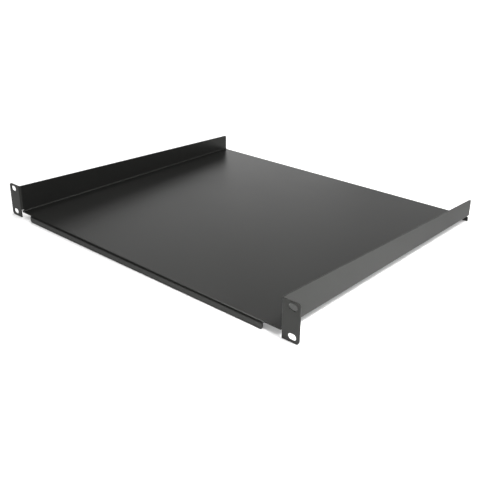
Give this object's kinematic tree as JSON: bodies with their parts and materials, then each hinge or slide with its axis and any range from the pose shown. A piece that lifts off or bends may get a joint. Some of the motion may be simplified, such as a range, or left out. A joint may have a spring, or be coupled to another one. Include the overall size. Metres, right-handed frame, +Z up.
{
  "type": "cantilever rack shelf",
  "caption": "Folded sheet-steel cantilever shelf for a standard equipment rack, with tapering side walls, slotted front ears and turned-down lips.",
  "frame": {"origin": "centre of the slot pattern, on the plane of the ears' rear faces, which seat against the rack's posts", "axes": "+X to the right along the rack's width, +Y towards the shelf's rear, +Z up"},
  "size_m": [0.4826, 0.3967, 0.0436],
  "materials": {
    "black_powder_coat": "satin black powder coat with a fine texture, over the whole sheet"
  },
  "bodies": {
    "root": {"folded_sheet": "black_powder_coat"}
  },
  "joints": []
}
